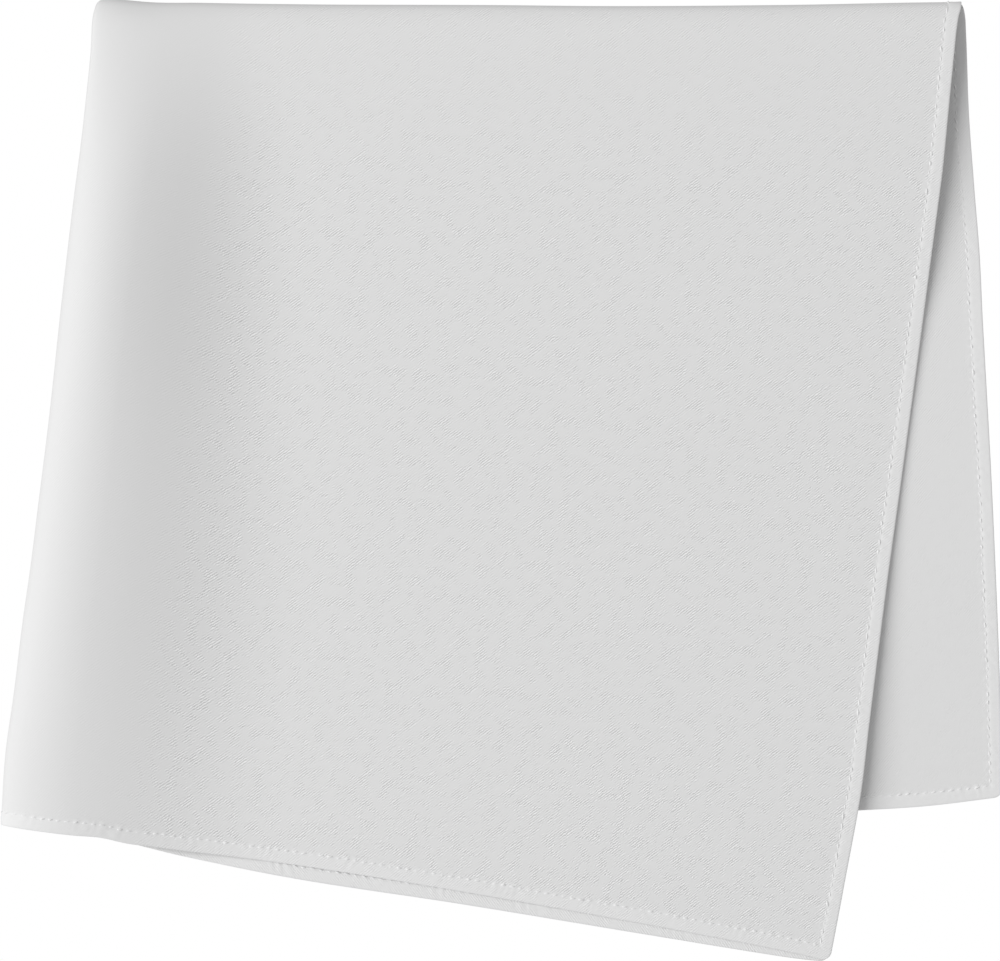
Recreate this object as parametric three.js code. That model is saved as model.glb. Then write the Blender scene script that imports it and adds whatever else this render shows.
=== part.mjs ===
// Folded bandana: one hemmed square of white satin-faced twill, folded in half with a soft fold
// at the left, and hung as two layers over a thin straight bar that isn't part of it.
// Millimetres, +Z up, +X to the right seen from the front, the front flap on the -Y side.
// Origin: middle of the top fold, on its underside, where it rests on the bar.

import * as THREE from 'three';

// Cloth
const CLOTH_THICKNESS = 1.0;
const HEM_WIDTH = 4.2;
const HEM_RAMP = 0.9;
const HEM_EXTRA = 0.45;
const CORNER_RADIUS = 3.0;
const LAYER_SPACING = 2.0;

// Fold over the bar: the cloth turns round it as far as this to each side of the top, and the
// flaps flare out from there until they hang straight down
const BAR_RADIUS = 2.5;
const INNER_RADIUS = BAR_RADIUS + CLOTH_THICKNESS / 2;
const AXIS_HEIGHT = -BAR_RADIUS;
const WRAP_ANGLE = Math.PI / 3;
const FLARE = 1.9;
const FLARE_REACH = FLARE * Math.tan(WRAP_ANGLE);

// Length of each flap below the turn, down its left and its right edge
const FRONT_LENGTH = { left: 258.8, right: 303.0 };
const BACK_LENGTH = { left: 266.6, right: 251.2 };

// Sections of the front flap, at a share of its length from the turn (0) to the hem (1):
// x of the left fold and of the right hem, how far the fold's loop swells out of the flap and
// in towards the bar, how far in from the fold its ridge is, and where the loop has run out
const FRONT_SECTIONS = [
  { at: 0.0, left: -138.8, right: 138.3, out: 0.4, in: 0.2, ridge: 7, reach: 46 },
  { at: 0.05, left: -139.8, right: 136.2, out: 1.5, in: 0.5, ridge: 11.5, reach: 58 },
  { at: 0.11, left: -141.3, right: 134.4, out: 4.0, in: 1.2, ridge: 13.5, reach: 64 },
  { at: 0.17, left: -142.8, right: 132.7, out: 7.4, in: 2.2, ridge: 13.6, reach: 68 },
  { at: 0.24, left: -145.0, right: 130.1, out: 10.3, in: 3.2, ridge: 13.9, reach: 73 },
  { at: 0.36, left: -148.7, right: 125.3, out: 12.2, in: 3.8, ridge: 14.4, reach: 80 },
  { at: 0.5, left: -152.7, right: 119.4, out: 10.8, in: 3.8, ridge: 16, reach: 84 },
  { at: 0.61, left: -156.4, right: 115.2, out: 10.5, in: 3.8, ridge: 16.4, reach: 88 },
  { at: 0.75, left: -160.8, right: 109.4, out: 10.2, in: 3.8, ridge: 17, reach: 92 },
  { at: 0.83, left: -163.6, right: 106.2, out: 9.3, in: 3.7, ridge: 17.5, reach: 92 },
  { at: 0.92, left: -166.9, right: 101.2, out: 8.2, in: 3.6, ridge: 18, reach: 92 },
  { at: 1.0, left: -168.2, right: 96.5, out: 7.4, in: 3.4, ridge: 18, reach: 92 },
];

// Sections of the back flap, in the same columns
const BACK_SECTIONS = [
  { at: 0.0, left: -136.2, right: 141.1, out: 0.4, in: 0.2, ridge: 7, reach: 40 },
  { at: 0.13, left: -133.4, right: 142.4, out: 1.8, in: 0.5, ridge: 9, reach: 46 },
  { at: 0.31, left: -129.6, right: 145.2, out: 5.0, in: 1.0, ridge: 11, reach: 54 },
  { at: 0.6, left: -122.4, right: 149.0, out: 6.5, in: 1.2, ridge: 12, reach: 60 },
  { at: 0.85, left: -116.2, right: 151.8, out: 6.0, in: 1.2, ridge: 12, reach: 62 },
  { at: 1.0, left: -112.6, right: 152.7, out: 5.6, in: 1.2, ridge: 12, reach: 62 },
];

// How far each flap stands back of where it would hang straight down from the bar, down its left
// and its right edge: at the right the two flaps swing in until they nearly touch
const FRONT_STAND = [
  { at: 0.0, left: 0, right: 0 },
  { at: 0.1, left: 0, right: 0.9 },
  { at: 0.23, left: 0, right: 2.0 },
  { at: 0.5, left: 0, right: 2.4 },
  { at: 0.75, left: 0, right: 2.0 },
  { at: 1.0, left: 0, right: 1.0 },
];
const BACK_STAND = [
  { at: 0.0, left: 0, right: 0 },
  { at: 0.13, left: 0.2, right: -1.4 },
  { at: 0.24, left: 0.4, right: -3.3 },
  { at: 0.36, left: 0.7, right: -5.0 },
  { at: 0.6, left: 1.0, right: -5.0 },
  { at: 0.85, left: 1.5, right: -4.6 },
  { at: 1.0, left: 2.0, right: -4.2 },
];

// Sections over the bar, in the same columns, at a share of the half turn from front to back
const BAR_SECTIONS = [
  { ...FRONT_SECTIONS[0] },
  { ...FRONT_SECTIONS[0], at: 0.5, left: -137.6, right: 140.0 },
  { ...BACK_SECTIONS[0], at: 0.75, left: -136.8, right: 141.3 },
  { ...BACK_SECTIONS[0], at: 1.0 },
];

const SECTIONS = { front: FRONT_SECTIONS, bar: BAR_SECTIONS, back: BACK_SECTIONS };

// How far the top line rises off the straight bar, at a share of the way across
const TOP_LINE = [
  { at: 0.0, rise: 1.2 },
  { at: 0.06, rise: 0.5 },
  { at: 0.12, rise: 0.6 },
  { at: 0.2, rise: 0.3 },
  { at: 0.45, rise: 0 },
  { at: 0.6, rise: -0.1 },
  { at: 0.8, rise: 0.1 },
  { at: 0.93, rise: 0.7 },
  { at: 1.0, rise: 0.9 },
];

// Hem lines: how far each layer hangs below a straight line between the hem's two ends,
// at a share of the way across from the left fold (0) to the right hem (1)
const FRONT_HEM = [
  { at: 0.0, outer: 0, inner: 0 },
  { at: 0.05, outer: -0.5, inner: -0.6 },
  { at: 0.09, outer: -1.0, inner: -1.0 },
  { at: 0.12, outer: -1.6, inner: -1.3 },
  { at: 0.155, outer: -1.0, inner: -0.3 },
  { at: 0.22, outer: -1.3, inner: 0.8 },
  { at: 0.36, outer: -2.5, inner: 2.1 },
  { at: 0.55, outer: -2.8, inner: 1.3 },
  { at: 0.8, outer: -2.0, inner: 1.3 },
  { at: 0.95, outer: -0.9, inner: 1.3 },
  { at: 1.0, outer: 0, inner: 0.4 },
];
const BACK_HEM = [
  { at: 0.0, outer: 0, inner: 0 },
  { at: 0.4, outer: 0.2, inner: 1.0 },
  { at: 0.83, outer: 0.6, inner: 1.5 },
  { at: 0.91, outer: 0.5, inner: 1.3 },
  { at: 1.0, outer: -0.3, inner: -0.3 },
];

// Side hems: how far the inner layer's right hem stops short of the outer one's in front, and
// the outer layer's of the inner one's behind
const FRONT_INSET = 0.5;
const BACK_INSET = 1.2;

// Steps of the surface in from a hem, across a layer and along the cloth
const HEM_STEPS = [
  { edge: 0, hemmed: true },
  { edge: HEM_WIDTH, hemmed: true },
  { edge: HEM_WIDTH + HEM_RAMP, hemmed: false },
];
const FLAT_COLUMNS = 7;
const SLOPE_COLUMNS = 9;
const TIP_COLUMNS = 6;
const FRONT_ROWS = 19;
const BAR_ROWS = 8;
const BACK_ROWS = 14;

// The flaps' rows lie closer together towards the bar, where the cloth bends
const ROW_CROWDING = 1.5;

// Tightest turn of the cloth, where its left fold is pressed flat near the bar
const MIN_TIP_RADIUS = 0.95;

const mix = THREE.MathUtils.lerp;

// Value of one column of a table, on a smooth curve through its rows
function column(table, name, at) {
  let row = 0;
  while (row < table.length - 2 && at > table[row + 1].at) row += 1;
  const slope = (index) => {
    const before = table[Math.max(index - 1, 0)];
    const after = table[Math.min(index + 1, table.length - 1)];
    return (after[name] - before[name]) / (after.at - before.at);
  };
  const from = table[row];
  const to = table[row + 1];
  const span = to.at - from.at;
  const t = (at - from.at) / span;
  const bend = t * t * (3 - 2 * t);
  const start = slope(row) * span * t * (1 - t) * (1 - t);
  const end = slope(row + 1) * span * t * t * (t - 1);
  return mix(from[name], to[name], bend) + start + end;
}

// All columns of a table at once, as one section
function sectionAt(table, at) {
  const section = {};
  for (const name of Object.keys(table[0])) section[name] = column(table, name, at);
  return section;
}

// The loop's height above the flat layer, falling from its ridge (0) to where it runs out (1)
function loopFall(share) {
  return (1 - share) ** 3 * (1 + 3 * share);
}

// Columns across the cloth, from the outer layer's right hem round the left fold to the inner
// layer's right hem. Each gives its layer and where it lies: on the hem, on the flat, on the
// loop's long slope or on its round tip
function clothColumns() {
  const half = HEM_STEPS.map((step) => ({ ...step, zone: 'hem' }));
  const add = (zone, share) => half.push({ zone, share, edge: 0, hemmed: false });
  for (let i = 1; i < FLAT_COLUMNS; i += 1) add('flat', i / FLAT_COLUMNS);
  for (let i = 0; i < SLOPE_COLUMNS; i += 1) add('slope', 1 - i / SLOPE_COLUMNS);
  for (let i = TIP_COLUMNS; i > 0; i -= 1) add('tip', i / TIP_COLUMNS);
  const outer = half.map((place) => ({ ...place, layer: 'outer' }));
  const inner = half.map((place) => ({ ...place, layer: 'inner' })).reverse();
  return [...outer, { ...outer.at(-1), share: 0 }, ...inner];
}

// Rows along the cloth, from the front flap's bottom hem over the bar to the back flap's
function clothRows() {
  const hemRows = (flap) => HEM_STEPS.map((step) => ({ ...step, flap, along: 1 }));
  const rows = hemRows('front');
  const add = (flap, along) => rows.push({ flap, along, edge: 0, hemmed: false });
  for (let i = FRONT_ROWS - 1; i >= 0; i -= 1) add('front', (i / FRONT_ROWS) ** ROW_CROWDING);
  for (let i = 1; i < BAR_ROWS; i += 1) add('bar', i / BAR_ROWS);
  for (let i = 0; i < BACK_ROWS; i += 1) add('back', (i / BACK_ROWS) ** ROW_CROWDING);
  return [...rows, ...hemRows('back').reverse()];
}

// Distance from the left fold and height over the bar's axis plane, of a column in a section.
// The tip is half an ellipse, squarer where the loop is flat, so that it never turns too tightly
function acrossSection(place, section, width) {
  const sign = place.layer === 'outer' ? 1 : -1;
  const flat = place.layer === 'outer' ? INNER_RADIUS + LAYER_SPACING : INNER_RADIUS;
  const swell = place.layer === 'outer' ? section.out : section.in;
  const hemStart = width - HEM_WIDTH - HEM_RAMP;
  if (place.zone === 'hem') return { s: width - place.edge, h: flat };
  if (place.zone === 'flat') return { s: mix(hemStart, section.reach, place.share), h: flat };
  if (place.zone === 'slope') {
    const s = mix(section.ridge, section.reach, place.share);
    return { s, h: flat + sign * swell * loopFall(place.share) };
  }
  const half = (LAYER_SPACING + section.out + section.in) / 2;
  const middle = INNER_RADIUS - section.in + half;
  const power = Math.max(2, (2 * section.ridge * MIN_TIP_RADIUS) / half ** 2);
  const turn = (place.share * Math.PI) / 2;
  const s = section.ridge * (1 - Math.max(Math.cos(turn), 0) ** (2 / power));
  return { s, h: middle + sign * half * Math.sin(turn) };
}

// Middle of the cloth's thickness at a row and a column
function clothPoint(row, place) {
  const isFront = row.flap === 'front';
  const length = isFront ? FRONT_LENGTH : BACK_LENGTH;
  const at = row.along - (2 * row.edge) / (length.left + length.right);
  const section = sectionAt(SECTIONS[row.flap], at);
  const turn = { front: 0, bar: row.along, back: 1 }[row.flap];
  const inset = place.layer === 'outer' ? mix(0, BACK_INSET, turn) : mix(FRONT_INSET, 0, turn);
  const width = section.right - section.left;
  const { s, h } = acrossSection(place, section, width - inset);
  const share = s / width;
  const x = section.left + s;
  const rise = column(TOP_LINE, 'rise', share);

  if (row.flap === 'bar') {
    const angle = (2 * turn - 1) * WRAP_ANGLE;
    return new THREE.Vector3(x, h * Math.sin(angle), AXIS_HEIGHT + h * Math.cos(angle) + rise);
  }
  const hemDrop = column(isFront ? FRONT_HEM : BACK_HEM, place.layer, share);
  const drop = row.along * (mix(length.left, length.right, share) + hemDrop) - row.edge;
  const stands = isFront ? FRONT_STAND : BACK_STAND;
  const stand = mix(column(stands, 'left', at), column(stands, 'right', at), share);
  const toFlare = Math.exp(-drop / FLARE_REACH);
  const tilt = Math.atan((FLARE / FLARE_REACH) * toFlare);
  const lift = h - INNER_RADIUS;
  const out = INNER_RADIUS * Math.sin(WRAP_ANGLE) + FLARE * (1 - toFlare) + lift * Math.cos(tilt);
  const top = AXIS_HEIGHT + INNER_RADIUS * Math.cos(WRAP_ANGLE) + lift * Math.sin(tilt);
  return new THREE.Vector3(x, stand + (isFront ? -out : out), top - drop + rise * (1 - at));
}

// Half of the cloth's thickness at a row and a column: a hem is turned over and so thicker
function halfThickness(row, place) {
  return (CLOTH_THICKNESS + (row.hemmed || place.hemmed ? HEM_EXTRA : 0)) / 2;
}

// Grid of points with the two hemmed corners of each layer rounded off
function clothGrid(rows, columns) {
  const grid = rows.map((row) => columns.map((place) => clothPoint(row, place)));
  const cut = CORNER_RADIUS * (1 - Math.SQRT1_2);
  const corners = [
    [0, 0, 1, 1],
    [0, columns.length - 1, 1, -1],
    [rows.length - 1, 0, -1, 1],
    [rows.length - 1, columns.length - 1, -1, -1],
  ];
  for (const [i, j, inRow, inColumn] of corners) {
    const corner = grid[i][j];
    const alongRow = grid[i][j + inColumn].clone().sub(corner).setLength(cut);
    const alongColumn = grid[i + inRow][j].clone().sub(corner).setLength(cut);
    corner.add(alongRow).add(alongColumn);
  }
  return grid;
}

// Unit normal of the grid at each point, from its neighbours along the row and the column
function gridNormals(grid) {
  const lastRow = grid.length - 1;
  const lastColumn = grid[0].length - 1;
  return grid.map((line, i) => line.map((_, j) => {
    const up = grid[Math.min(i + 1, lastRow)][j];
    const down = grid[Math.max(i - 1, 0)][j];
    const next = grid[i][Math.min(j + 1, lastColumn)];
    const previous = grid[i][Math.max(j - 1, 0)];
    const alongRow = next.clone().sub(previous);
    const alongColumn = up.clone().sub(down);
    return alongRow.cross(alongColumn).normalize();
  }));
}

// Closed solid of the sheet: its two skins, half a thickness to each side of the grid, and the
// narrow rim between them round the four hems
function sheetGeometry(rows, columns) {
  const grid = clothGrid(rows, columns);
  const normals = gridNormals(grid);
  const positions = [];
  for (const side of [1, -1]) {
    grid.forEach((line, i) => line.forEach((point, j) => {
      const offset = side * halfThickness(rows[i], columns[j]);
      positions.push(...point.clone().addScaledVector(normals[i][j], offset).toArray());
    }));
  }
  const across = columns.length;
  const skin = rows.length * across;
  const vertex = (side, i, j) => side * skin + i * across + j;
  const indices = [];
  const quad = (a, b, c, d) => indices.push(a, b, c, a, c, d);
  for (let i = 0; i < rows.length - 1; i += 1) {
    for (let j = 0; j < across - 1; j += 1) {
      quad(vertex(0, i, j), vertex(0, i, j + 1), vertex(0, i + 1, j + 1), vertex(0, i + 1, j));
      quad(vertex(1, i, j), vertex(1, i + 1, j), vertex(1, i + 1, j + 1), vertex(1, i, j + 1));
    }
  }
  for (let j = 0; j < across - 1; j += 1) {
    const last = rows.length - 1;
    quad(vertex(0, 0, j), vertex(1, 0, j), vertex(1, 0, j + 1), vertex(0, 0, j + 1));
    quad(vertex(0, last, j), vertex(0, last, j + 1), vertex(1, last, j + 1), vertex(1, last, j));
  }
  for (let i = 0; i < rows.length - 1; i += 1) {
    const last = across - 1;
    quad(vertex(0, i, 0), vertex(0, i + 1, 0), vertex(1, i + 1, 0), vertex(1, i, 0));
    quad(vertex(0, i, last), vertex(1, i, last), vertex(1, i + 1, last), vertex(0, i + 1, last));
  }
  const geometry = new THREE.BufferGeometry();
  geometry.setAttribute('position', new THREE.Float32BufferAttribute(positions, 3));
  geometry.setIndex(indices);
  geometry.computeVertexNormals();
  return geometry;
}

// White satin-faced twill, with a soft sheen
const twill = new THREE.MeshStandardMaterial({ color: 0xe6e6e6, roughness: 0.7, metalness: 0 });

const bandana = new THREE.Mesh(sheetGeometry(clothRows(), clothColumns()), twill);
bandana.name = 'bandana';

const foldedBandana = new THREE.Group();
foldedBandana.add(bandana);

export default foldedBandana;
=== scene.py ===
# Folded bandana: a hemmed square of white satin-faced twill, folded in half with a soft fold at the
# left, and hung as two layers over a thin bar that isn't part of it. Seen from the front, against
# white, in soft light from the left. Metres, but each section's own sizes are in millimetres.

import math

import bpy
import numpy as np
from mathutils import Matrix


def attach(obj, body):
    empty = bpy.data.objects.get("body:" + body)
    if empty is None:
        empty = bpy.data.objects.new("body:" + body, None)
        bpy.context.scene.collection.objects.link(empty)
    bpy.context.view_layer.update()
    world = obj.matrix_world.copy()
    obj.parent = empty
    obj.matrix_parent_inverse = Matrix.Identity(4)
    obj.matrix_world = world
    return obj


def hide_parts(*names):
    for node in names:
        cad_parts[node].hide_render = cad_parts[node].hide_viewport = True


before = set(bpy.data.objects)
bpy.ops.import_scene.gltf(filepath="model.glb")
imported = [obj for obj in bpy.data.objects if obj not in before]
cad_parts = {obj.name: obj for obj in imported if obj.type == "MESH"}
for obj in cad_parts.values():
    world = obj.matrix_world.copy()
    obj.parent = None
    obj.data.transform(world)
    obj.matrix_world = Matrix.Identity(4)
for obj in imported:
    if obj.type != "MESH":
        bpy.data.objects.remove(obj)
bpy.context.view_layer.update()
bpy.ops.object.select_all(action="DESELECT")

# The cloth: one square of bleached cotton twill, 559 mm a side once its four edges are turned over
# twice and sewn. It is folded in half by hand, so the left fold stays open in a soft loop, and its
# own weight holds it on the bar: a long flap leans left in front, and a short one right behind.

MM = 0.001
SIDE = 559.0
HALF = SIDE / 2
CLOTH_THICKNESS = 0.36
HEM_WIDTH = 4.8
STITCH_LINE = 4.2
STITCHES_A_SIDE = 190
STITCH_STEP = (SIDE - 2 * STITCH_LINE) / STITCHES_A_SIDE
PUCKERS_A_SIDE = 193
PUCKER_PITCH = SIDE / PUCKERS_A_SIDE
CORNER_RADIUS = 3.0

# How much of the cloth hangs in front, lies over the bar and hangs behind. It turns round the bar
# as far as this to each side of the top, and its flaps flare from there until they hang straight
FRONT_RUN = 290.2
BAR_RUN = 6.9
BACK_RUN = SIDE - FRONT_RUN - BAR_RUN
AXIS_HEIGHT = -2.5
OUTER_RADIUS = 4.95
LAYER_SPACING = 1.2
INNER_RADIUS = OUTER_RADIUS - LAYER_SPACING
WRAP_ANGLE = math.radians(60)
FLARE = 2.1
FLARE_REACH = FLARE * math.tan(WRAP_ANGLE)
FRONT_LENGTH = {"left": 259.5, "right": 303.6}
BACK_LENGTH = {"left": 267.1, "right": 251.7}

# How far the right hem of each flap's hidden layer stays short of the one that shows, and how near
# the hem the cloth keeps its true length: wholly within the first distance, and not past the second
FRONT_INSET = 0.5
BACK_INSET = 1.2
TRUE_LENGTH_REACH = (8, 45)


def table(names, *rows):
    """A short table with named columns, as one array for each name."""
    return dict(zip(names.split(), np.array(rows, float).T))


# Sections across the cloth, at a distance along it from the front hem: x of the left fold and of
# the right hem, how far the fold's loop swells out of the flap and in towards the bar, how far in
# its ridge is, where the loop has run out, and how far the flap's two ends stand back of the bar
SECTIONS = table(
    "at left right out in ridge reach stand_left stand_right",
    (0, -168.4, 96.5, 7.4, 3.4, 18, 92, 0, 1.0),
    (23, -167.0, 101.0, 8.2, 3.6, 18, 92, 0, 1.4),
    (50, -163.8, 106.4, 9.3, 3.7, 17.5, 92, 0, 1.7),
    (71.5, -161.4, 109.2, 10.2, 3.8, 17, 92, 0, 2.0),
    (92, -158.75, 111.9, 10.4, 3.8, 16.7, 90, 0, 2.2),
    (116, -156.05, 115.1, 10.6, 3.8, 16.4, 88, 0, 2.3),
    (144, -152.9, 119.2, 10.8, 3.8, 16, 84, 0, 2.4),
    (186, -148.7, 125.2, 12.2, 3.8, 14.8, 80, 0, 2.4),
    (221, -145.1, 130.0, 10.6, 3.2, 14.4, 75, 0, 2.0),
    (241, -142.8, 132.7, 8.6, 2.2, 14.4, 72, 0, 1.5),
    (258, -141.2, 134.4, 5.8, 1.2, 14.2, 68, 0, 0.9),
    (275, -139.8, 136.1, 3.2, 0.5, 13.5, 63, 0, 0.3),
    (287, -139.3, 137.6, 2.0, 0.3, 11, 58, 0, 0),
    (293.6, -137.9, 140.0, 0.9, 0.2, 6, 50, 0, 0),
    (300, -136.3, 141.4, 0.5, 0.3, 3, 42, 0, 0),
    (331, -133.7, 142.3, 1.8, 0.5, 6, 46, -0.6, -2.4),
    (356, -131.6, 143.8, 3.6, 0.8, 8.5, 50, -0.6, -4.0),
    (378, -129.9, 145.2, 5.0, 1.0, 11, 54, -0.5, -6.0),
    (400, -128.0, 145.9, 5.6, 1.1, 11.4, 56, -0.4, -8.2),
    (455, -122.7, 148.7, 6.5, 1.2, 12, 60, 0.0, -8.9),
    (520, -116.5, 151.6, 6.0, 1.2, 12, 62, 0.5, -6.8),
    (559, -112.9, 152.7, 5.6, 1.2, 12, 62, 1.0, -5.6),
)

# How far the top line rises off the straight bar, at a share of the way across
TOP_LINE = table(
    "at rise",
    (0.0, 1.6),
    (0.06, 0.35),
    (0.12, 0.75),
    (0.2, 0.55),
    (0.27, 0.35),
    (0.45, 0.2),
    (0.6, -0.15),
    (0.8, 0.25),
    (0.93, 0.95),
    (1.0, 1.2),
)

# How far each layer's hem hangs below a straight line between the hem's two ends, at a share of
# the way across from the left fold to the right hem
FRONT_HEM = table(
    "at outer inner",
    (0.0, 0, 0),
    (0.05, -0.5, -0.6),
    (0.09, -1.0, -1.0),
    (0.12, -1.6, -1.3),
    (0.155, -0.95, -0.25),
    (0.18, -1.15, 0.3),
    (0.22, -1.3, 1.0),
    (0.36, -2.5, 2.1),
    (0.55, -2.8, 1.4),
    (0.8, -2.0, 1.3),
    (0.95, -0.9, 1.1),
    (1.0, 0, 0.4),
)
BACK_HEM = table(
    "at outer inner",
    (0.0, 0, 0),
    (0.4, 0.2, 1.0),
    (0.83, 0.6, 1.5),
    (0.91, 0.5, 1.3),
    (1.0, -0.3, -0.3),
)


def mix(start, end, share):
    """Value at that share of the way from start to end."""
    return start + (end - start) * share


def smooth(start, end, value):
    """0 before start and 1 after end, with a soft step between them."""
    share = np.clip((value - start) / (end - start), 0, 1)
    return share * share * (3 - 2 * share)


def column(rows, name, at):
    """Value of one column of a table, on a smooth curve through its rows."""
    keys, values = rows["at"], rows[name]
    last = len(keys) - 1
    before = np.maximum(np.arange(last + 1) - 1, 0)
    after = np.minimum(np.arange(last + 1) + 1, last)
    slopes = (values[after] - values[before]) / (keys[after] - keys[before])
    row = np.clip(np.searchsorted(keys, at) - 1, 0, last - 1)
    span = keys[row + 1] - keys[row]
    t = np.clip((at - keys[row]) / span, 0, 1)
    bend = mix(values[row], values[row + 1], t * t * (3 - 2 * t))
    start = slopes[row] * span * t * (1 - t) ** 2
    end = slopes[row + 1] * span * t * t * (t - 1)
    return bend + start + end


def across_section(across, section, width):
    """Distance in from the left fold and height over the bar's axis plane. The fold is half an
    ellipse, and the loop's long slope runs from its ridge down to the flat layer."""
    outer = across > 0
    side = np.where(outer, 1, -1)
    ridge, swell = section["ridge"], np.where(outer, section["out"], section["in"])
    half = (LAYER_SPACING + section["out"] + section["in"]) / 2
    middle = INNER_RADIUS - section["in"] + half
    tip = math.pi / 2 * np.sqrt((ridge**2 + half**2) / 2)
    arc = np.abs(across)

    turn = np.clip(arc / tip, 0, 1) * math.pi / 2
    turn = turn + (ridge**2 - half**2) / (ridge**2 + half**2) / 4 * np.sin(2 * turn)
    on_tip = arc < tip
    tip_in = ridge * (1 - np.cos(turn))
    tip_height = middle + side * half * np.sin(turn)

    slope_in = ridge + (arc - tip) * (width - ridge) / (HALF - tip)
    fall = 1 - np.clip((slope_in - ridge) / (section["reach"] - ridge), 0, 1)
    flat = np.where(outer, OUTER_RADIUS, INNER_RADIUS)
    slope_height = flat + side * swell * fall**3 * (4 - 3 * fall)
    return np.where(on_tip, tip_in, slope_in), np.where(on_tip, tip_height, slope_height)


def cloth_point(across, along):
    """Middle of the cloth in millimetres, and how far it is down the cloth from the top line.
    across is the distance from the left fold, over 0 on the outer layer and under 0 on the inner
    one, and along the distance from the front hem."""
    section = {name: column(SECTIONS, name, along) for name in SECTIONS if name != "at"}
    turn = np.clip((along - FRONT_RUN) / BAR_RUN, 0, 1)
    outer = across > 0
    inset = np.where(outer, mix(0, BACK_INSET, turn), mix(FRONT_INSET, 0, turn))
    width = section["right"] - section["left"]
    inward, height = across_section(across, section, width - inset)
    share = inward / width

    drops = []
    for run, length, hem, edge in (
        (FRONT_RUN, FRONT_LENGTH, FRONT_HEM, along),
        (BACK_RUN, BACK_LENGTH, BACK_HEM, SIDE - along),
    ):
        hem_drop = np.where(outer, column(hem, "outer", share), column(hem, "inner", share))
        full = mix(length["left"], length["right"], share) + hem_drop
        near_hem = 1 - smooth(*TRUE_LENGTH_REACH, edge)
        drops.append(full * (1 - edge / run) + (full / run - 1) * edge * near_hem)
    front = along < FRONT_RUN
    back = along > FRONT_RUN + BAR_RUN
    drop = np.where(front, drops[0], np.where(back, drops[1], 0))
    down_share = np.where(front, 1 - along / FRONT_RUN, 1 - (SIDE - along) / BACK_RUN)
    rise = column(TOP_LINE, "rise", share) * (1 - np.clip(down_share, 0, 1))

    lift = height - INNER_RADIUS
    angle = (2 * turn - 1) * WRAP_ANGLE
    to_flare = np.exp(-drop / FLARE_REACH)
    hanging_tilt = np.arctan(FLARE / FLARE_REACH * to_flare)
    tilt = np.where(front | back, hanging_tilt, math.pi / 2 - np.abs(angle))
    side = np.where(angle < 0, -1, 1)
    out = INNER_RADIUS * np.sin(np.abs(angle)) + FLARE * (1 - to_flare) + lift * np.cos(tilt)
    up = AXIS_HEIGHT + INNER_RADIUS * np.cos(angle) + lift * np.sin(tilt)
    stand = mix(section["stand_left"], section["stand_right"], share)
    point = np.stack([section["left"] + inward, side * out + stand, up - drop + rise], axis=-1)
    return point, np.where(front, drop, -drop) - height * angle


def wander(at, pitch, seed):
    """Uneven hand-made wave between -1 and 1, of about that pitch, the same on each run."""
    turns = 2 * math.pi * at / pitch
    return (
        0.5 * np.sin(turns + seed)
        + 0.3 * np.sin(0.618 * turns + 2.3 * seed + 1.1)
        + 0.2 * np.sin(1.734 * turns + 3.7 * seed + 2.2)
    )


# Lines of the mesh. The field is coarse, but finer within these distances of the fold and the bar.
# Its lines are counted from the fold out on each layer, and in five stretches from hem to hem
FINE_AT_FOLD = 26
FINE_AT_BAR = 16
FOLD_LINES = 19
FAR_LINES = 44
LENGTH_LINES = (45, 10, 11, 10, 40)

# The hem band is rings of fine steps, four to a stitch, at these distances in from the edge. Within
# reach of a corner the steps are drawn in, and the field starts a little further in than the rings
RING_DEPTHS = (0, 0.12, 0.35, 0.9, 1.6, 2.4, 3.2, 3.7, 4.2, 4.7, 5.3)
FIELD_DEPTH = 6.6
STEPS_A_SIDE = 4 * PUCKERS_A_SIDE
CORNER_REACH = 12.0


def field_lines():
    """Where the field's lines run across and along the cloth."""
    near = np.linspace(0, FINE_AT_FOLD, FOLD_LINES)
    far = np.linspace(FINE_AT_FOLD, HALF - FIELD_DEPTH, FAR_LINES)[1:]
    half = np.concatenate([near, far])
    across = np.concatenate([-half[:0:-1], half])
    bar_end = FRONT_RUN + BAR_RUN
    fine_start, fine_end = FRONT_RUN - FINE_AT_BAR, bar_end + FINE_AT_BAR
    stops = (FIELD_DEPTH, fine_start, FRONT_RUN, bar_end, fine_end, SIDE - FIELD_DEPTH)
    spans = [
        np.linspace(start, end, lines)[1:]
        for start, end, lines in zip(stops, stops[1:], LENGTH_LINES)
    ]
    return across, np.concatenate([[FIELD_DEPTH], *spans])


def ring_line(depth):
    """Places along one side of a ring, from corner to corner, at even steps but near corners."""
    even = np.linspace(0, SIDE, STEPS_A_SIDE + 1)
    near = np.minimum(even, SIDE - even)
    shift = depth * np.clip(1 - near / CORNER_REACH, 0, 1)
    return np.where(even < HALF, even + shift, even - shift)


def loop_of(low_side, high_side):
    """Places of a closed loop round the cloth, from its places along the two ways."""
    across, along = low_side, high_side
    corners = [
        np.stack([across[:-1], np.full(len(across) - 1, along[0])], axis=-1),
        np.stack([np.full(len(along) - 1, across[-1]), along[:-1]], axis=-1),
        np.stack([across[:0:-1], np.full(len(across) - 1, along[-1])], axis=-1),
        np.stack([np.full(len(along) - 1, across[0]), along[:0:-1]], axis=-1),
    ]
    return np.concatenate(corners)


def zip_loops(fine, coarse, fine_at, coarse_at):
    """Triangles between two closed loops of vertices, stepping along whichever is behind."""
    triangles = []
    i = j = 0
    while i < len(fine) or j < len(coarse):
        a, b = fine[i % len(fine)], coarse[j % len(coarse)]
        fine_next = fine_at[i + 1] if i < len(fine) else math.inf
        coarse_next = coarse_at[j + 1] if j < len(coarse) else math.inf
        if fine_next <= coarse_next:
            i += 1
            triangles.append((a, fine[i % len(fine)], b))
        else:
            j += 1
            triangles.append((a, coarse[j % len(coarse)], b))
    return triangles


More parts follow.
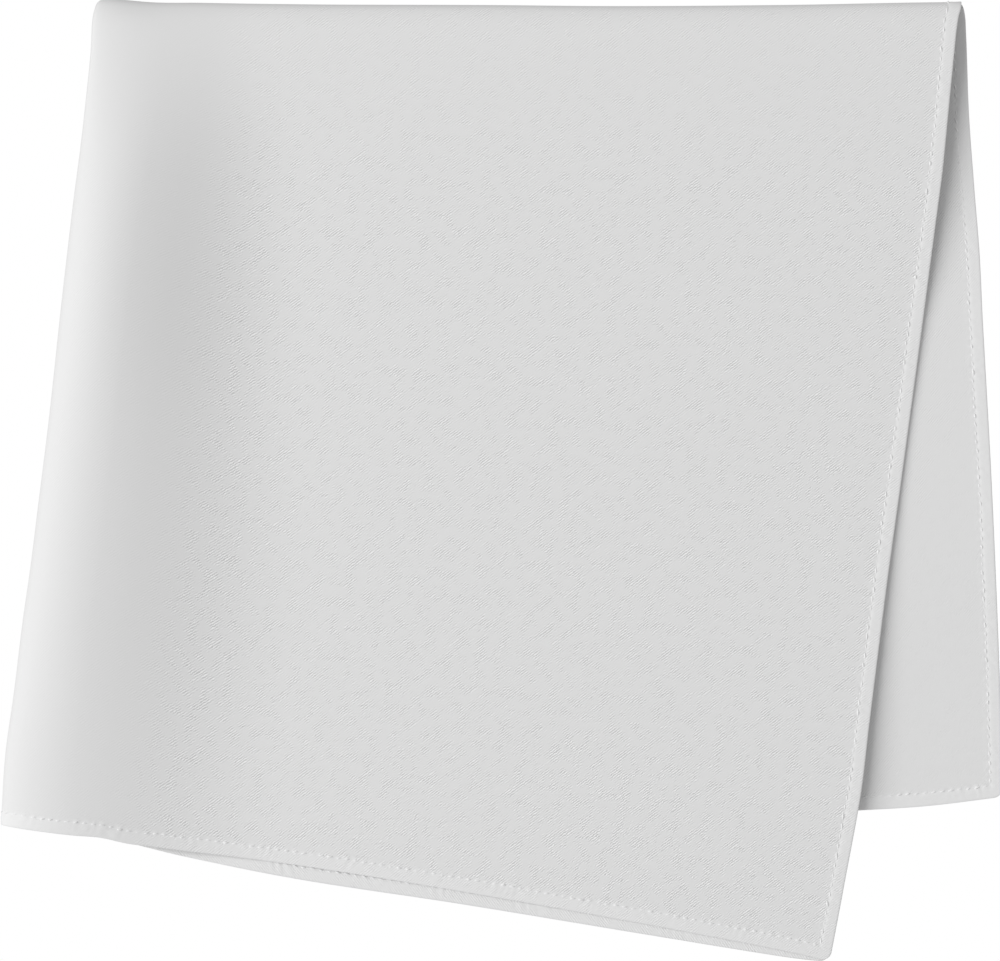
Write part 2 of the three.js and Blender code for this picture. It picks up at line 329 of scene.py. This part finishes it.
def loop_places(loop):
    """How far round a loop each vertex is, in quarter turns from corner to corner."""
    corner_across = np.abs(loop[:, 0]).max()
    low, high = loop[:, 1].min(), loop[:, 1].max()
    across = (loop[:, 0] + corner_across) / (2 * corner_across)
    along = (loop[:, 1] - low) / (high - low)
    side = np.select(
        [
            (loop[:, 1] == low) & (across < 1),
            (loop[:, 0] == loop[:, 0].max()) & (along < 1),
            (loop[:, 1] == high) & (across > 0),
        ],
        [across, 1 + along, 3 - across],
        4 - along,
    )
    return np.append(side, 4.0)


def sheet_mesh():
    """Places on the flat cloth, the triangles between them and the outermost loop of vertices."""
    across, along = field_lines()
    grid_across, grid_along = np.meshgrid(across, along, indexing="ij")
    places = [np.stack([grid_across.ravel(), grid_along.ravel()], axis=-1)]
    index = np.arange(grid_across.size).reshape(grid_across.shape)
    a, b, c, d = index[:-1, :-1], index[1:, :-1], index[1:, 1:], index[:-1, 1:]
    triangles = [np.stack(corners, axis=-1).reshape(-1, 3) for corners in ((a, b, c), (a, c, d))]
    inner_loop = np.concatenate([index[:-1, 0], index[-1, :-1], index[:0:-1, -1], index[0, :0:-1]])

    first = grid_across.size
    loops = []
    for depth in RING_DEPTHS:
        line = ring_line(depth)
        ring = loop_of(line - HALF, line)
        places.append(ring)
        loops.append(np.arange(first, first + len(ring)))
        first += len(ring)
    for outside, inside in zip(loops, loops[1:]):
        a, b = outside, np.roll(outside, -1)
        c, d = np.roll(inside, -1), inside
        triangles += [np.stack([a, b, c], axis=-1), np.stack([a, c, d], axis=-1)]
    field_loop = loop_of(across, along)
    zipped = zip_loops(loops[-1], inner_loop, loop_places(places[-1]), loop_places(field_loop))
    triangles.append(np.array(zipped))
    return np.concatenate(places), np.concatenate(triangles), loops[0]


def round_corners(places):
    """Draws each corner square of the hem in to a quarter circle."""
    across, along = places[:, 0], places[:, 1]
    side, end = np.sign(across), np.sign(along - HALF)
    over_x = np.maximum(np.abs(across) - (HALF - CORNER_RADIUS), 0) / CORNER_RADIUS
    over_y = np.maximum(np.abs(along - HALF) - (HALF - CORNER_RADIUS), 0) / CORNER_RADIUS
    inward_x = CORNER_RADIUS * over_x * (1 - np.sqrt(1 - over_y**2 / 2))
    inward_y = CORNER_RADIUS * over_y * (1 - np.sqrt(1 - over_x**2 / 2))
    return np.stack([across - side * inward_x, along - end * inward_y], axis=-1)


def hem_places(places):
    """Distance in from the nearest edge, along that edge, and from the nearest corner."""
    in_side = HALF - np.abs(places[:, 0])
    in_end = HALF - np.abs(places[:, 1] - HALF)
    on_side = in_side < in_end
    depth = np.minimum(in_side, in_end)
    run = np.where(on_side, places[:, 1], places[:, 0] + HALF)
    edge = np.where(on_side, np.sign(places[:, 0]), 2 * np.sign(places[:, 1] - HALF))
    return depth, run, edge, np.maximum(in_side, in_end)


# Relief of the hem: how high its puckers and lumps stand, how deep and how wide the thread's groove
# and the needle's pits are, how far in the edge is rounded and to what share of the thickness, and
# how much the turned layers add on each side
HEM_PUCKER = 0.07
HEM_LUMP = 0.09
STITCH_GROOVE = 0.1
NEEDLE_PIT = 0.2
GROOVE_WIDTH = 0.5
EDGE_ROUND = 0.35
EDGE_SHARE = 0.45
FACE_LAYERS = 0.14
BACK_LAYERS = 0.42


def hem_relief(places):
    """Height of the hem's lumps, and of its puckers where the thread is pulled tight, over the
    smooth cloth."""
    depth, run, edge, corner = hem_places(places)
    phase = run / PUCKER_PITCH + 0.6 * wander(run, 9.7, edge) + 0.5 * wander(run, 31, edge + 4)
    tight = np.clip(0.35 + wander(run, 27, 2 * edge + 1) + 0.4 * wander(run, 8.3, edge), 0, 1)
    pucker = HEM_PUCKER * tight * np.cos(2 * math.pi * (phase - 0.12 * depth))
    lump = HEM_LUMP * wander(run + 1.7 * depth, 5.3, edge + 7) * wander(run, 17, edge + 2)
    reach = smooth(0.2, 2.0, depth) * (1 - smooth(4.5, 6.6, depth)) * smooth(3, 8, corner)
    return reach * (pucker + lump)


def skin_offsets(places):
    """Height of the cloth's face and back over its middle. The hem is turned to the back, and the
    thread draws both skins in along its line, most of all where the needle went through."""
    depth, run, edge, _ = hem_places(places)
    turned = 1 - smooth(HEM_WIDTH - 0.3, HEM_WIDTH + 0.3, depth)
    edge_round = np.sqrt(1 - (1 - np.clip(depth / EDGE_ROUND, 0, 1)) ** 2)
    hole = (0.5 - 0.5 * np.cos(2 * math.pi * (run - STITCH_LINE) / STITCH_STEP)) ** 2
    pull = STITCH_GROOVE + NEEDLE_PIT * (1 - hole) * (0.6 + 0.4 * wander(run, 7.7, edge + 3))
    groove = pull * np.exp(-(((depth - STITCH_LINE) / GROOVE_WIDTH) ** 2))
    half = CLOTH_THICKNESS / 2
    face = half + FACE_LAYERS * turned * edge_round - groove
    back = half + BACK_LAYERS * turned * edge_round - groove
    shrink = mix(EDGE_SHARE, 1, edge_round)
    return face * shrink, back * shrink


def vertex_normals(points, triangles):
    """Unit normals of a surface, averaged over the triangles round each vertex."""
    a, b, c = (points[triangles[:, k]] for k in range(3))
    faces = np.cross(b - a, c - a)
    normals = np.zeros_like(points)
    for k in range(3):
        np.add.at(normals, triangles[:, k], faces)
    return normals / np.linalg.norm(normals, axis=1, keepdims=True)


def new_mesh(name, points, triangles, uvs, **shown):
    """A smooth mesh object with one UV map, from arrays of points, triangles and UVs, and with an
    attribute for each further array of one number for each point."""
    mesh = bpy.data.meshes.new(name)
    mesh.from_pydata(points.tolist(), [], triangles.tolist())
    layer = mesh.uv_layers.new(name="weave")
    corners = np.zeros(len(mesh.loops), np.int32)
    mesh.loops.foreach_get("vertex_index", corners)
    layer.data.foreach_set("uv", uvs[corners].ravel().astype(np.float32))
    for attribute, numbers in shown.items():
        values = mesh.attributes.new(attribute, "FLOAT", "POINT")
        values.data.foreach_set("value", numbers.astype(np.float32))
    mesh.shade_smooth()
    made = bpy.data.objects.new(name, mesh)
    bpy.context.scene.collection.objects.link(made)
    return made


# Turn between the weave and the top line, because the long flap hangs crooked over the bar, and a
# spot in the plain front field, across and along the cloth, where its face is known to look forward
LEAN = math.radians(8.3)
PLAIN_SPOT = (100, 150)


def weave_uv(places, fallen):
    """Place on the weave, in metres: U along the weft and V along the warp."""
    across = places[:, 0]
    u = across * math.cos(LEAN)
    v = fallen / math.cos(LEAN) - np.abs(across) * math.sin(LEAN)
    return np.stack([u, v], axis=-1) * MM


flat_places, sheet_triangles, edge_loop = sheet_mesh()
rounded_places = round_corners(flat_places)
middle_points, fallen = cloth_point(rounded_places[:, 0], rounded_places[:, 1])
normals = vertex_normals(middle_points, sheet_triangles)
from_spot = np.abs(flat_places - PLAIN_SPOT).sum(axis=1)
if normals[np.argmin(from_spot), 1] > 0:
    sheet_triangles = sheet_triangles[:, ::-1]
    normals = -normals

relief = hem_relief(flat_places)
face_height, back_height = skin_offsets(flat_places)
face_points = middle_points + normals * (relief + face_height)[:, None]
back_points = middle_points + normals * (relief - back_height)[:, None]
count = len(middle_points)
edge_next = np.roll(edge_loop, -1)
rim = np.concatenate(
    [
        np.stack([edge_loop, edge_next, edge_next + count], axis=-1),
        np.stack([edge_loop, edge_next + count, edge_loop + count], axis=-1),
    ]
)
cloth_uv = weave_uv(flat_places, fallen)

# What share of the twill lines, as bumps and as painted shade, shows on the smooth soft fold, at the
# bar, behind and on the hem, and how far from the fold and from the top line they fade in. The hem's
# three layers let less light through, so the hem is a shade brighter
ON_FOLD = 0.1
AT_BAR = 0.5
BEHIND = 0.35
ON_HEM = 0.5
FOLD_FADE = (38, 62)
BAR_FADE = (0, 70)
on_hem = 1 - smooth(HEM_WIDTH - 0.6, HEM_WIDTH + 0.2, hem_places(flat_places)[0])
twill_shown = mix(ON_FOLD, 1, smooth(*FOLD_FADE, np.abs(flat_places[:, 0])))
twill_shown *= mix(AT_BAR, 1, smooth(*BAR_FADE, np.abs(fallen)))
twill_shown *= mix(1, BEHIND, smooth(FRONT_RUN, FRONT_RUN + BAR_RUN, flat_places[:, 1]))
twill_shown *= mix(1, ON_HEM, on_hem)
cloth = new_mesh(
    "folded_bandana",
    np.concatenate([face_points, back_points]) * MM,
    np.concatenate([sheet_triangles, sheet_triangles[:, ::-1] + count, rim]),
    np.concatenate([cloth_uv, cloth_uv]),
    twill_shown=np.concatenate([twill_shown, twill_shown]),
    hem_layers=np.concatenate([on_hem, on_hem]),
)


def srgb(text):
    """Linear colour of an sRGB hex value."""
    parts = [int(text[k : k + 2], 16) / 255 for k in (1, 3, 5)]
    linear = [p / 12.92 if p <= 0.04045 else ((p + 0.055) / 1.055) ** 2.4 for p in parts]
    return (*linear, 1)


def node(material, kind, links=(), **settings):
    """Adds a node with its settings, and links its inputs, given as (input, node, output)."""
    tree = material.node_tree
    made = tree.nodes.new(kind)
    for name, value in settings.items():
        if name in made.inputs:
            made.inputs[name].default_value = value
        else:
            setattr(made, name, value)
    for name, source, output in links:
        tree.links.new(source.outputs[output], made.inputs[name])
    return made


# Bleached cotton twill with a satin face. The real twill lines are about 0.5 mm apart, and are
# drawn 0.69 mm apart so that they show, both as bumps and as painted shade: each ridge is painted
# lighter and each groove darker. They catch the light in small patches, as in pressed cloth.
TWILL_PITCH = 0.69
TWILL_ANGLE = math.radians(-45)
TWILL_HEIGHT = 0.06
# Painted shade of the twill lines: their ridges are painted lighter and their grooves darker, by this
# share of their height
TWILL_PAINTED_SHADE = 0.56
HEM_TONE = 0.04
PATCHES_A_METRE = 290
PATCH_EDGES = (0.4, 0.6)
CLOTH_WHITE = "#e8e8e8"


def twill_material():
    made = bpy.data.materials.new("bleached_satin_twill")
    made.use_nodes = True
    made.node_tree.nodes.clear()
    uv = node(made, "ShaderNodeUVMap", uv_map="weave")
    turned = node(
        made,
        "ShaderNodeMapping",
        [("Vector", uv, "UV")],
        Rotation=(0, 0, TWILL_ANGLE),
    )
    lines = node(
        made,
        "ShaderNodeTexWave",
        [("Vector", turned, "Vector")],
        bands_direction="X",
        Scale=math.pi / 10 / (TWILL_PITCH * MM),
        Distortion=3.4,
        Detail=2.0,
    )
    lines.inputs["Detail Scale"].default_value = 2.5
    patches = node(
        made,
        "ShaderNodeTexNoise",
        [("Vector", uv, "UV")],
        Scale=PATCHES_A_METRE,
        Detail=2,
        Roughness=0.6,
    )
    patch = node(made, "ShaderNodeMapRange", [("Value", patches, "Fac")])
    patch.inputs["From Min"].default_value = PATCH_EDGES[0]
    patch.inputs["From Max"].default_value = PATCH_EDGES[1]
    shown = node(made, "ShaderNodeAttribute", attribute_name="twill_shown")
    strength = node(
        made, "ShaderNodeMath", [(0, patch, "Result"), (1, shown, "Fac")], operation="MULTIPLY"
    )
    centred = node(made, "ShaderNodeMath", [(0, lines, "Fac")], operation="SUBTRACT")
    centred.inputs[1].default_value = 0.5
    height = node(
        made, "ShaderNodeMath", [(0, centred, 0), (1, strength, 0)], operation="MULTIPLY"
    )
    relief_node = node(
        made, "ShaderNodeBump", [("Height", height, 0)], Strength=1.0, Distance=TWILL_HEIGHT * MM
    )
    # Painted shade and highlight on the twill: the colour is lighter on each line's ridge and darker
    # in its groove
    lit = node(made, "ShaderNodeMath", [(0, height, 0)], operation="MULTIPLY_ADD")
    lit.inputs[1].default_value = TWILL_PAINTED_SHADE
    lit.inputs[2].default_value = 1.0
    layers = node(made, "ShaderNodeAttribute", attribute_name="hem_layers")
    hem = node(made, "ShaderNodeMath", [(0, layers, "Fac")], operation="MULTIPLY_ADD")
    hem.inputs[1].default_value = HEM_TONE
    hem.inputs[2].default_value = 1.0
    tone = node(made, "ShaderNodeMath", [(0, lit, 0), (1, hem, 0)], operation="MULTIPLY")
    colour = node(made, "ShaderNodeVectorMath", [("Scale", tone, 0)], operation="SCALE")
    colour.inputs[0].default_value = srgb(CLOTH_WHITE)[:3]
    shader = node(
        made,
        "ShaderNodeBsdfPrincipled",
        [("Normal", relief_node, "Normal"), ("Base Color", colour, 0)],
        Roughness=0.62,
    )
    shader.inputs["Specular IOR Level"].default_value = 0.25
    shader.inputs["Sheen Weight"].default_value = 0.05
    node(made, "ShaderNodeOutputMaterial", [("Surface", shader, "BSDF")])
    return made


cloth.data.materials.append(twill_material())
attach(cloth, "root")
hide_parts("bandana")

# The hem's sewing: one lockstitch line of white cotton thread round the four sides, 4.2 mm in from
# the edge. Each stitch is a short raised dash on both faces that dips into the cloth at its ends.

THREAD_RADIUS = 0.25
THREAD_SIDES = 6
THREAD_WHITE = "#f2f2f2"

# Hand of the sewing: where along a stitch its rings of points are, how far its ends slant aside, what
# share of the step half of it reaches, and how deep it sinks, on average
STITCH_STATIONS = (-1.0, -0.62, 0.0, 0.62, 1.0)
STITCH_SLANT = 0.2
STITCH_REACH = 0.38
STITCH_SUNK = 0.1

# Steps on the flat cloth over which its normals and the stitches' ways are measured
NORMAL_STEP = 0.4
WAY_STEP = 0.1


def stitch_starts():
    """Middle of each stitch, on the flat cloth, and the way that it runs."""
    inner = HALF - STITCH_LINE
    steps = (np.arange(STITCHES_A_SIDE) + 0.5) * STITCH_STEP - inner
    edge = np.full(STITCHES_A_SIDE, inner)
    sides = [
        (steps, HALF - edge, (1, 0)),
        (edge, HALF + steps, (0, 1)),
        (-steps, HALF + edge, (-1, 0)),
        (-edge, HALF - steps, (0, -1)),
    ]
    middles = np.concatenate([np.stack([x, y], axis=-1) for x, y, _ in sides])
    ways = np.concatenate([np.tile(way, (STITCHES_A_SIDE, 1)) for _, _, way in sides])
    return middles, ways


def middle_at(places):
    """Middle of the cloth at flat places, and the normal there, up to its sign."""
    point, _ = cloth_point(places[:, 0], places[:, 1])
    beside, _ = cloth_point(places[:, 0] + NORMAL_STEP, places[:, 1])
    beyond, _ = cloth_point(places[:, 0], places[:, 1] + NORMAL_STEP)
    normal = np.cross(beside - point, beyond - point)
    return point, normal / np.linalg.norm(normal, axis=1, keepdims=True)


_, spot_normal = middle_at(np.array([PLAIN_SPOT], float))
NORMAL_SIGN = -1 if spot_normal[0, 1] > 0 else 1


def surface_at(places, face):
    """Point on the cloth's face (1) or back (-1) and the normal there, at flat places."""
    point, normal = middle_at(places)
    face_height, back_height = skin_offsets(places)
    height = face_height if face > 0 else back_height
    lifted = point + normal * (NORMAL_SIGN * (hem_relief(places) + face * height))[:, None]
    return lifted, normal * NORMAL_SIGN * face


def stitch_pattern():
    """Triangles of one stitch: a tube of THREAD_SIDES sides through its stations, closed at both
    ends."""
    pattern = []
    for ring in range(len(STITCH_STATIONS) - 1):
        for k in range(THREAD_SIDES):
            a = ring * THREAD_SIDES + k
            b = ring * THREAD_SIDES + (k + 1) % THREAD_SIDES
            pattern += [(a, b, b + THREAD_SIDES), (a, b + THREAD_SIDES, a + THREAD_SIDES)]
    last = (len(STITCH_STATIONS) - 1) * THREAD_SIDES
    for k in range(1, THREAD_SIDES - 1):
        pattern += [(0, k + 1, k), (last, last + k, last + k + 1)]
    return np.array(pattern)


def stitch_rows(face):
    """Points and triangles of all the stitches on one face of the cloth."""
    middles, ways = stitch_starts()
    number = np.arange(len(middles))
    aside = np.stack([-ways[:, 1], ways[:, 0]], axis=-1)
    slant = STITCH_SLANT * (1 + wander(number, 4.3, 1))
    drift = 0.2 * wander(number, 17, 2) + 0.16 * wander(number, 3.1, 4)
    reach = STITCH_STEP * (STITCH_REACH + 0.09 * wander(number, 3.7, 3))
    thick = THREAD_RADIUS * (1 + 0.3 * wander(number, 4.1, 5))
    sunk = STITCH_SUNK * (1 + wander(number, 2.9, 6))

    rings = []
    for station in STITCH_STATIONS:
        places = (
            middles
            + ways * (station * reach)[:, None]
            + aside * (drift + station * slant)[:, None]
        )
        point, normal = surface_at(places, face)
        ahead, _ = surface_at(places + ways * WAY_STEP, face)
        way = ahead - point
        way /= np.linalg.norm(way, axis=1, keepdims=True)
        across = np.cross(way, normal)
        bow = 1 - station**2
        centre = point + normal * (thick * (1.3 * bow - 0.7) - sunk)[:, None]
        radius = thick * (0.35 + 0.65 * math.sqrt(bow))
        for k in range(THREAD_SIDES):
            turn = 2 * math.pi * k / THREAD_SIDES
            spoke = across * math.cos(turn) + normal * math.sin(turn)
            rings.append(centre + spoke * radius[:, None])
    points = np.stack(rings, axis=1)

    per_stitch = THREAD_SIDES * len(STITCH_STATIONS)
    starts = (number * per_stitch)[:, None, None]
    return points.reshape(-1, 3), (stitch_pattern()[None] + starts).reshape(-1, 3)


face_stitches, face_triangles = stitch_rows(1)
back_stitches, back_triangles = stitch_rows(-1)
stitch_points = np.concatenate([face_stitches, back_stitches]) * MM
stitching = new_mesh(
    "hem_stitching",
    stitch_points,
    np.concatenate([face_triangles, back_triangles + len(face_stitches)]),
    stitch_points[:, ::2],
)


# Mercerised white cotton sewing thread: a shade brighter than the cloth, with a soft shine
def thread_material():
    made = bpy.data.materials.new("mercerised_cotton_thread")
    made.use_nodes = True
    made.node_tree.nodes.clear()
    place = node(made, "ShaderNodeTexCoord")
    plies = node(
        made, "ShaderNodeTexNoise", [("Vector", place, "Object")], Scale=2600, Detail=1
    )
    relief_node = node(
        made, "ShaderNodeBump", [("Height", plies, "Fac")], Strength=0.6, Distance=0.04 * MM
    )
    shader = node(
        made, "ShaderNodeBsdfPrincipled", [("Normal", relief_node, "Normal")], Roughness=0.5
    )
    shader.inputs["Base Color"].default_value = srgb(THREAD_WHITE)
    shader.inputs["Specular IOR Level"].default_value = 0.35
    node(made, "ShaderNodeOutputMaterial", [("Surface", shader, "BSDF")])
    return made


stitching.data.materials.append(thread_material())
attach(stitching, "root")

# The floor: a plain pale studio floor, a metre below the bar. It lies well below the cloth's lowest
# corner and out of the front view, so it only sends a little light back up.

FLOOR_HEIGHT = -1.0
FLOOR_SIZE = 4
FLOOR_WHITE = "#e4e4e4"
bpy.ops.mesh.primitive_plane_add(size=FLOOR_SIZE, location=(0, 0, FLOOR_HEIGHT))
floor = bpy.context.object
floor.name = "floor"

# Matt white floor paint, a little darker than the cloth
paint = bpy.data.materials.new("matt_white_floor_paint")
paint.use_nodes = True
paint.node_tree.nodes.clear()
paint_shader = node(paint, "ShaderNodeBsdfPrincipled", Roughness=0.9)
paint_shader.inputs["Base Color"].default_value = srgb(FLOOR_WHITE)
node(paint, "ShaderNodeOutputMaterial", [("Surface", paint_shader, "BSDF")])
floor.data.materials.append(paint)

# The studio light: an even white surround, which the camera sees at full white and which lights the
# cloth less than that, and one broad soft lamp far round to the left.

AMBIENT = 0.45
KEY_POWER = 182.0
KEY_ANGLE = math.radians(46)
KEY_RISE = math.radians(5)
KEY_DISTANCE = 5.0
KEY_SIZE = 4.4
CENTRE_HEIGHT = -0.15

world = bpy.data.worlds.new("studio_surround")
bpy.context.scene.world = world
world.use_nodes = True
world.node_tree.nodes.clear()
path = node(world, "ShaderNodeLightPath")
glow = node(world, "ShaderNodeMapRange", [("Value", path, "Is Camera Ray")])
glow.inputs["To Min"].default_value = AMBIENT
surround = node(world, "ShaderNodeBackground", [("Strength", glow, "Result")])
surround.inputs["Color"].default_value = (1, 1, 1, 1)
node(world, "ShaderNodeOutputWorld", [("Surface", surround, "Background")])

lamp = bpy.data.lights.new("soft_key", "AREA")
lamp.shape = "SQUARE"
lamp.size = KEY_SIZE
lamp.energy = KEY_POWER
key = bpy.data.objects.new("soft_key", lamp)
key.visible_camera = False
bpy.context.scene.collection.objects.link(key)
key.location = (
    -math.sin(KEY_ANGLE) * math.cos(KEY_RISE) * KEY_DISTANCE,
    -math.cos(KEY_ANGLE) * math.cos(KEY_RISE) * KEY_DISTANCE,
    CENTRE_HEIGHT + math.sin(KEY_RISE) * KEY_DISTANCE,
)
key.rotation_euler = (math.pi / 2 - KEY_RISE, 0, -KEY_ANGLE)

# The camera: level and square on to the front flap, about a metre in front of it, with a long lens.
# It shows the whole cloth from the top line to the lowest corner, and the back flap at the right.

CAMERA_X = -9.12 * MM
CAMERA_Z = -150.2 * MM
CAMERA_BACK = 1066.67 * MM
FRONT_FLAP_Y = -6.5 * MM
LENS_LENGTH = 120
SENSOR_WIDTH = 36
lens = bpy.data.cameras.new("front_view")
lens.lens = LENS_LENGTH
lens.sensor_width = SENSOR_WIDTH
camera = bpy.data.objects.new("front_view", lens)
bpy.context.scene.collection.objects.link(camera)
camera.location = (CAMERA_X, FRONT_FLAP_Y - CAMERA_BACK, CAMERA_Z)
camera.rotation_euler = (math.pi / 2, 0, 0)
bpy.context.scene.camera = camera
bpy.context.scene.view_settings.view_transform = "Standard"
